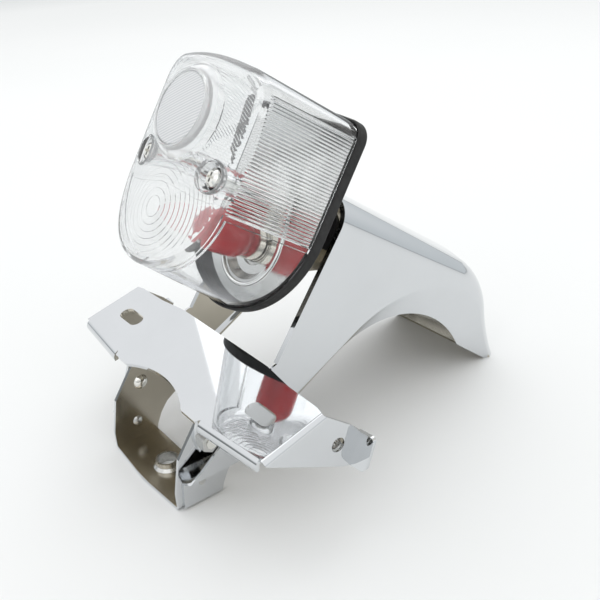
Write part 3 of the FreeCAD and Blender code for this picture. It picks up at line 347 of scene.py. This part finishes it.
def outer_rows():
    """Smooth outer skin from the foot over the rounded face edge."""
    radius = 3.66
    brink = face_level(HIGH_LOOP[:, 0])
    rows = [skin_loop(FOOT + (brink - radius - FOOT) * k / 6.0, 0.0) for k in range(7)]
    for k in range(1, 9):
        turn = math.pi / 2 * k / 8
        inset = radius * (1 - math.cos(turn))
        row = skin_loop(brink - radius, inset)
        row[:, 2] = face_level(row[:, 0]) - radius * (1 - math.sin(turn))
        rows.append(row)
    return rows


def inner_thickness(level):
    """Wall thickness: ribbed sides, plain window below, raised border."""
    u = MID_LOOP[:, 1]
    phase = np.mod((u - RIB_START) / RIB_PITCH, 1.0)
    ribs = 1.95 + 0.32 * np.sin(np.pi * phase)
    if level > 42.0:
        ribs = np.full(len(u), WALL)
    window = np.full(len(u), 1.7)
    border = (u > -12.8) & (u < -11.0)
    thick = np.where(u > -11.0, np.where(u < RIB_END, ribs, WALL), window)
    if level > 42.5:
        return np.where(u > -11.0, thick, WALL)
    if level > 41.0:
        border = border | (u <= -12.8)
    return np.where(border, 3.0, thick)


def inner_rows():
    """Ribbed inner skin from the face down to the foot."""
    rows = []
    for level in (FOOT, 10.0, 18.0, 26.0, 34.0, 40.8, 41.1, 42.4, 42.6, 43.4):
        rows.append(skin_loop(level, inner_thickness(level)))
    brink = face_level(HIGH_LOOP[:, 0], WALL)
    for drop, inset in ((1.2, WALL), (0.35, 2.45), (0.0, 3.2)):
        row = skin_loop(brink - drop, inset)
        row[:, 2] = face_level(row[:, 0], WALL) - drop
        rows.append(row)
    return rows[::-1]


def ring_pitch(radius):
    """Spacing of the face grooves at a distance from the focus."""
    return max(3.3 - 0.06 * radius, 1.1)


def ring_radii():
    """Groove circles, wide apart near the focus and closer further out."""
    radii = []
    radius = 4.2
    while radius < 64.0:
        radii.append(radius)
        radius += ring_pitch(radius)
    return radii


def circle_points(centre, radius, count):
    turn = np.linspace(0, 2 * math.pi, count, endpoint=False)
    return np.stack([centre[0] + radius * np.cos(turn), centre[1] + radius * np.sin(turn)], 1)


def within(flat, loop):
    """True for points inside a loop, seen from a point in its middle."""
    ray = loop - np.array([0.0, 2.0])
    spot = flat - np.array([0.0, 2.0])
    order = np.argsort(np.arctan2(ray[:, 1], ray[:, 0]))
    angles = np.arctan2(ray[:, 1], ray[:, 0])[order]
    reach = np.linalg.norm(ray, axis=1)[order]
    limit = np.interp(np.arctan2(spot[:, 1], spot[:, 0]), angles, reach, period=2 * math.pi)
    return np.linalg.norm(spot, axis=1) < limit


def edge_distance(flat, loop):
    """Distance of each point from the nearest point of a loop."""
    nearest = np.full(len(flat), 1e9)
    for start in range(0, len(flat), 4000):
        part = flat[start:start + 4000]
        gaps = np.linalg.norm(part[:, None, :] - loop[None, :, :], axis=2)
        nearest[start:start + 4000] = gaps.min(1)
    return nearest


def outside_slivers(flat, ordered, count):
    """True for triangles of loop points only that lie outside the loop."""
    first, second, third = (flat[ordered[:, k]] for k in range(3))
    a, b = second - first, third - first
    return (ordered[:, 2] < count) & (a[:, 0] * b[:, 1] - a[:, 1] * b[:, 0] <= 0.0)


def triangulate(loop, circles, keep_out):
    """Triangles inside a loop with circles as creases and holes left open."""
    points = [tuple(p) for p in loop]
    edges = [(k, (k + 1) % len(points)) for k in range(len(points))]
    for centre, radius, count in circles:
        ring = circle_points(centre, radius, count)
        kept = within(ring, loop) & (edge_distance(ring, loop) > 0.5)
        places = {}
        for k in np.nonzero(kept)[0]:
            places[int(k)] = len(points)
            points.append(tuple(ring[k]))
        for k, place in places.items():
            after = (k + 1) % count
            if after in places:
                edges.append((place, places[after]))
    result = delaunay_2d_cdt([Vector(p) for p in points], edges, [], 1, 1e-5, False)
    flat = np.array([tuple(v) for v in result[0]])
    tris = np.array([f for f in result[2] if len(f) == 3])
    middle = flat[tris].mean(1)
    good = np.full(len(tris), True)
    for centre, radius in keep_out:
        good &= np.linalg.norm(middle - np.array(centre), axis=1) > radius * 0.999
    good &= ~outside_slivers(flat, np.sort(tris, axis=1), len(loop))
    return flat, [tuple(t) for t in tris[good]]


def steps(flat, centre, radii, levels, height):
    """Height profile round a centre; small levels are offsets from the face."""
    away = np.linalg.norm(flat - np.array(centre), axis=1)
    for k in np.nonzero(away < radii[-1])[0]:
        heights = [height[k] + v if v < 5.0 else v for v in levels]
        height[k] = np.interp(away[k], radii, heights)


BOSS_RADII = (14.42, 14.5, 14.8, 15.25, 15.7, 19.0, 19.5)
BOSS_LEVELS = (53.8, 56.05, 56.4, 56.4, 56.0, 0.35, 0.0)
WELL_RADII = (SCREW_HOLE, 4.9, 5.2, 5.8, 6.1)
WELL_LEVELS = (WELL_FLOOR, WELL_FLOOR, 45.1, -0.3, 0.0)
INNER_BOSS_RADII = (14.6, 15.4, 17.6)
COLUMN_RADII = (SCREW_HOLE, 4.2, 4.4, 6.2, 6.6)


def ring_grooves(flat):
    """Saw-tooth depth of the ring optics at each point."""
    away = np.linalg.norm(flat - np.array(FOCUS), axis=1)
    marks, saw = [0.0], [0.36]
    for radius in ring_radii():
        marks += [radius - CREASE, radius + CREASE]
        saw += [0.0, 0.115 * ring_pitch(radius)]
    return np.interp(away, marks + [70.0], saw + [0.0])


def face_skin(loop, inner):
    """Crowned face, outer or inner, lifted from a flat triangulation."""
    circles = []
    if inner:
        circles += [(FOCUS, r + d, 200) for r in ring_radii() for d in (-CREASE, CREASE)]
        circles += [(BOSS, r, 140) for r in INNER_BOSS_RADII]
        circles += [(c, r, 64) for c in SCREWS for r in COLUMN_RADII]
    else:
        circles += [(BOSS, r, 160) for r in BOSS_RADII]
        circles += [(BOSS, r, 80) for r in (4.0, 9.0, 24.0, 30.0)]
        circles += [(c, r, 64) for c in SCREWS for r in WELL_RADII]
    flat, tris = triangulate(loop, circles, [(c, SCREW_HOLE) for c in SCREWS])
    drop = WALL if inner else 0.0
    height = face_level(flat[:, 0], drop)
    if inner:
        clear = np.linalg.norm(flat - np.array(BOSS), axis=1) > 17.7
        fade = np.clip(edge_distance(flat, loop) / 2.5, 0.0, 1.0)
        height = height - ring_grooves(flat) * clear * fade
        steps(flat, BOSS, (0.0,) + INNER_BOSS_RADII, (52.2, 52.2, 51.6, 0.0), height)
        levels = (COLUMN_FOOT, COLUMN_FOOT, 11.4, -0.8, 0.0)
        for centre in SCREWS:
            steps(flat, centre, COLUMN_RADII, levels, height)
    else:
        steps(flat, BOSS, BOSS_RADII, BOSS_LEVELS, height)
        for centre in SCREWS:
            steps(flat, centre, WELL_RADII, WELL_LEVELS, height)
    return np.concatenate([flat, height[:, None]], 1), tris


def tube(centre, radius, low, high, count):
    """Wall of a round hole between two levels."""
    ring = circle_points(centre, radius, count)
    rows = [np.concatenate([ring, np.full((count, 1), z)], 1) for z in (low, high)]
    return bands(rows)


def lamp_mesh(name, pieces):
    """One mesh in the row frame from pieces given in lamp millimetres."""
    points, faces = [], []
    for verts, polys in pieces:
        shift = len(points)
        points += [tuple(v) for v in verts]
        faces += [tuple(int(i) + shift for i in poly) for poly in polys]
    mesh = bpy.data.meshes.new(name)
    mesh.from_pydata([LAMP_MATRIX @ (Vector(p) * MM) for p in points], [], faces)
    work = bmesh.new()
    work.from_mesh(mesh)
    bmesh.ops.remove_doubles(work, verts=work.verts, dist=3e-6)
    bmesh.ops.dissolve_degenerate(work, edges=work.edges, dist=1e-7)
    open_edges = [edge for edge in work.edges if len(edge.link_faces) < 2]
    bmesh.ops.holes_fill(work, edges=open_edges, sides=0)
    bmesh.ops.recalc_face_normals(work, faces=work.faces)
    work.to_mesh(mesh)
    work.free()
    mesh.shade_smooth()
    mesh.set_sharp_from_angle(angle=math.radians(24))
    part = bpy.data.objects.new(name, mesh)
    bpy.context.scene.collection.objects.link(part)
    return part


def build_lens():
    """Clear lens with fluted sides, ring optics, boss, wells and columns."""
    outside, inside = outer_rows(), inner_rows()
    pieces = [bands(outside), bands(inside), bands([outside[0], inside[-1]])]
    pieces.append(face_skin(outside[-1][:, :2], False))
    pieces.append(face_skin(inside[0][:, :2], True))
    pieces += [tube(c, SCREW_HOLE, COLUMN_FOOT, WELL_FLOOR, 64) for c in SCREWS]
    return lamp_mesh("lens_moulding", pieces)


PRISM_SIDE = 1.3
REFLEX_RADIUS, REFLEX_BACK, REFLEX_RIM = 14.3, 54.9, 0.65
REFLEX_DOME = ((REFLEX_RADIUS, 0.0), (13.9, 0.35), (9.0, 0.62), (4.0, 0.74))
REFLEX_COUNT = 120


def prism_lines():
    """Three sets of parallel chords that cut the disc into triangles."""
    lines = []
    pitch = PRISM_SIDE * math.sqrt(3) / 2
    for turn in (30, 90, 150):
        along = np.array([math.cos(math.radians(turn)), math.sin(math.radians(turn))])
        normal = np.array([-along[1], along[0]])
        for k in range(-12, 13):
            foot = normal * pitch * k
            span = math.sqrt(max(REFLEX_RADIUS ** 2 - (pitch * k) ** 2, 0.0))
            if span > 0.3:
                lines.append((foot - along * span, foot + along * span))
    return lines


def prism_cells():
    """Flat vertices and cells of the disc between the chords."""
    ring = circle_points((0, 0), REFLEX_RADIUS, REFLEX_COUNT)
    points = [tuple(p) for p in ring]
    edges = [(k, (k + 1) % REFLEX_COUNT) for k in range(REFLEX_COUNT)]
    for start, end in prism_lines():
        edges.append((len(points), len(points) + 1))
        points += [tuple(start * 0.9995), tuple(end * 0.9995)]
    cut = delaunay_2d_cdt([Vector(p) for p in points], edges, [], 0, 1e-4, False)
    return [tuple(v) for v in cut[0]], cut[2]


def prism_back():
    """Back of the disc: a three-sided prism on every whole triangle."""
    verts, cells = prism_cells()
    faces, peaks = [], []
    for poly in cells:
        corners = np.array([verts[i] for i in poly])
        size = max(np.linalg.norm(corners - np.roll(corners, 1, 0), axis=1))
        if len(poly) == 3 and size > PRISM_SIDE * 0.9:
            peak = len(verts) + len(peaks)
            peaks.append(corners.mean(0))
            faces += [(poly[k], poly[(k + 1) % 3], peak) for k in range(3)]
        else:
            faces.append(tuple(poly))
    back = [(x, u + BOSS[1], REFLEX_BACK) for x, u in verts]
    back += [(x, u + BOSS[1], REFLEX_BACK - 0.40 * PRISM_SIDE) for x, u in peaks]
    return back, faces


def build_reflex():
    """Reflector disc: smooth front, cube-corner prisms behind."""
    rows = []
    for radius, rise in REFLEX_DOME:
        ring = circle_points(BOSS, radius, REFLEX_COUNT)
        level = REFLEX_BACK + REFLEX_RIM + rise
        rows.append(np.concatenate([ring, np.full((REFLEX_COUNT, 1), level)], 1))
    front, front_faces = bands(rows)
    front_faces.append(tuple(range(len(front) - REFLEX_COUNT, len(front))))
    rim = tube(BOSS, REFLEX_RADIUS, REFLEX_BACK, REFLEX_BACK + REFLEX_RIM, REFLEX_COUNT)
    return lamp_mesh("reflex_moulding", [prism_back(), (front, front_faces), rim])


# ------------------------------------------------------------------- materials
CHROME = (0.66, 0.675, 0.69)
NICKEL = (0.56, 0.52, 0.44)
paint("tail_bracket", plated("bracket_chrome", CHROME, NICKEL, (0.0, 0.011, -0.0065)))
paint("plate_bracket", plated("plate_chrome", CHROME, NICKEL, (0.0, -0.06, 0.0), 0.03, 0.0001))
paint("strap_stay", plated("strap_nickel", CHROME, NICKEL, (0.0, -0.07, 0.03), 0.06))
paint("reflector_pan", plated("pan_bright", (0.88, 0.88, 0.87), (0.2, 0.19, 0.17),
                             (0.0, 0.0, 0.09), 0.09))
paint("mounting_plate", plastic("mount_black", (0.02, 0.02, 0.02)))
paint("stud_spacers", plastic("spacer_black", (0.03, 0.03, 0.03)))
for fixing in ("lens_screw_left", "lens_screw_right", "plate_bolts"):
    paint(fixing, plated(fixing + "_plate", (0.83, 0.82, 0.78), NICKEL, None, 0.13))
for fixing in ("strap_bush", "strap_rivets", "plate_bolt_nuts", "arm_weld_nuts",
               "lens_screw_posts", "pan_studs", "stud_washers",
               "stud_nuts", "contact_springs"):
    paint(fixing, zinc(fixing + "_zinc", (0.66, 0.66, 0.64)))
paint("bulb_cap", plated("cap_nickel", (0.72, 0.69, 0.62), NICKEL, None, 0.12))
paint("socket_shell", plated("socket_nickel", (0.70, 0.70, 0.68), NICKEL, None, 0.14))
paint("bulb_contacts", zinc("solder", (0.5, 0.5, 0.52)))
paint("bulb_filaments", zinc("lead_wire", (0.4, 0.4, 0.4)))
paint("contact_plungers", zinc("plunger_brass", (0.72, 0.55, 0.25)))
paint("contact_carrier", plastic("carrier_board", (0.22, 0.11, 0.05)))
paint("lens_gasket", rubber("gasket_rubber"))
paint("lens_screw_washers", rubber("washer_rubber"))
paint("lead_grommet", rubber("grommet_rubber"))
paint("bulb_glass", red_glass("bulb_red"))
lens = build_lens()
lens.data.materials.append(lens_plastic("lens_clear"))
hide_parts("lens")
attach(lens, "lens_unit")
reflex = build_reflex()
reflex.data.materials.append(reflex_plastic("reflex_prisms"))
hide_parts("reflex_reflector")
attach(reflex, "lens_unit")


def squash_springs():
    """The contact springs would shorten by the push as the bulb goes in; here they only get a
    mesh of their own, and each vertex's height along the lamp axis is measured but not used.
    """
    springs = NODES["contact_springs"]
    along = [LAMP_OUT.dot(springs.matrix_world @ v.co - LAMP_ORIGIN)
             for v in springs.data.vertices]
    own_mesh(springs)


squash_springs()


# -------------------------------------------------------------- floor and light
def build_floor():
    """Pale seamless sheet under and behind the object, with painted shade far out."""
    mesh = bpy.data.meshes.new("floor")
    size = 6.0
    mesh.from_pydata([(-size, -size, 0), (size, -size, 0), (size, size, 0), (-size, size, 0)],
                     [], [(0, 1, 2, 3)])
    floor = bpy.data.objects.new("floor", mesh)
    bpy.context.scene.collection.objects.link(floor)
    t = Tree("floor_paper")
    cloud = t.noise(3.0, 2.0, 0.5)
    near = t.mix(cloud, rgb(0.83, 0.84, 0.835), rgb(0.86, 0.865, 0.86))
    x, y = t.split(t.coords)[0], t.split(t.coords)[1]
    away = t.math("SQRT", t.math("ADD", t.math("MULTIPLY", x, x), t.math("MULTIPLY", y, y)))
    # Painted shade: the paper darkens to grey from 1.7 m to 2.6 m out, standing in for light
    # falling off far from the lamps.
    base = t.mix(t.range(away, 1.7, 2.6, 0.0, 1.0), near, rgb(0.52, 0.54, 0.55))
    t.set(base=base, rough=0.9, specular=0.1)
    mesh.materials.append(t.material)


def area_light(name, place, target, size, power, tone=(1.0, 1.0, 1.0)):
    """Square softbox aimed at a point."""
    data = bpy.data.lights.new(name, "AREA")
    data.shape = "RECTANGLE"
    data.size, data.size_y = size
    data.energy = power
    data.color = tone
    light = bpy.data.objects.new(name, data)
    bpy.context.scene.collection.objects.link(light)
    light.location = place
    aim = Vector(target) - Vector(place)
    light.rotation_euler = aim.to_track_quat("-Z", "Y").to_euler()


def sky_patch(tree, ray, toward, start, full):
    """Soft round patch of sky: 0 outside, 1 near one direction."""
    aim = tree.nodes.new("ShaderNodeVectorMath")
    aim.operation = "DOT_PRODUCT"
    aim.inputs[1].default_value = Vector(toward).normalized()
    tree.links.new(ray, aim.inputs[0])
    ramp = tree.nodes.new("ShaderNodeMapRange")
    ramp.interpolation_type = "SMOOTHSTEP"
    ramp.inputs["From Min"].default_value = start
    ramp.inputs["From Max"].default_value = full
    tree.links.new(aim.outputs["Value"], ramp.inputs["Value"])
    return ramp.outputs["Result"]


def sky_tint(tree, under, patch, strength, tone):
    """Lay a tone over the sky where a patch is."""
    scale = tree.nodes.new("ShaderNodeMath")
    scale.operation = "MULTIPLY"
    scale.inputs[1].default_value = strength
    tree.links.new(patch, scale.inputs[0])
    mix = tree.nodes.new("ShaderNodeMix")
    mix.data_type = "RGBA"
    tree.links.new(scale.outputs[0], mix.inputs["Factor"])
    tree.links.new(under, mix.inputs["A"])
    mix.inputs["B"].default_value = rgb(*tone)
    return mix.outputs["Result"]


def build_world():
    """White tent with a greyer horizon and a few dim openings."""
    world = bpy.data.worlds.new("studio")
    bpy.context.scene.world = world
    world.use_nodes = True
    tree = world.node_tree
    tree.nodes.clear()
    out = tree.nodes.new("ShaderNodeOutputWorld")
    back = tree.nodes.new("ShaderNodeBackground")
    ray = tree.nodes.new("ShaderNodeTexCoord").outputs["Generated"]
    height = sky_patch(tree, ray, (0.0, 0.0, 1.0), 0.0, 0.45)
    base = tree.nodes.new("ShaderNodeMix")
    base.data_type = "RGBA"
    tree.links.new(height, base.inputs["Factor"])
    base.inputs["A"].default_value = rgb(0.72, 0.76, 0.78)
    base.inputs["B"].default_value = rgb(1.08, 1.09, 1.1)
    tone = base.outputs["Result"]
    tone = sky_tint(tree, tone, sky_patch(tree, ray, (-0.72, -0.69, 0.02), 0.935, 0.99),
                    0.85, (0.16, 0.17, 0.17))
    tone = sky_tint(tree, tone, sky_patch(tree, ray, (0.40, 0.66, 0.62), 0.90, 0.985),
                    0.6, (0.55, 0.52, 0.43))
    tone = sky_tint(tree, tone, sky_patch(tree, ray, (0.80, -0.55, 0.28), 0.80, 0.97),
                    0.8, (0.22, 0.22, 0.22))
    tree.links.new(tone, back.inputs["Color"])
    tree.links.new(back.outputs[0], out.inputs["Surface"])
    back.inputs["Strength"].default_value = 1.0


def build_camera():
    """Camera at the viewing angle, in the row frame."""
    data = bpy.data.cameras.new("view")
    data.sensor_width = 36.0
    data.lens = 48.58
    data.clip_start = 0.01
    camera = bpy.data.objects.new("view", data)
    bpy.context.scene.collection.objects.link(camera)
    right = Vector((0.6102, 0.7904, -0.0538))
    up = Vector((-0.3339, 0.3181, 0.8873))
    right.normalize()
    up = (up - right * up.dot(right)).normalized()
    back = right.cross(up)
    turn = Matrix((right, up, back)).transposed().to_4x4()
    camera.matrix_world = Matrix.Translation((0.2661, -0.2026, 0.2248)) @ turn
    bpy.context.scene.camera = camera


build_floor()
build_world()
area_light("key", (-0.5, 0.4, 1.1), (0.0, 0.0, 0.08), (1.2, 1.2), 3.0)
area_light("fill", (0.9, -0.9, 1.0), (0.1, -0.1, 0.0), (1.4, 1.4), 3.0)
build_camera()
bpy.context.scene.view_settings.view_transform = "Standard"
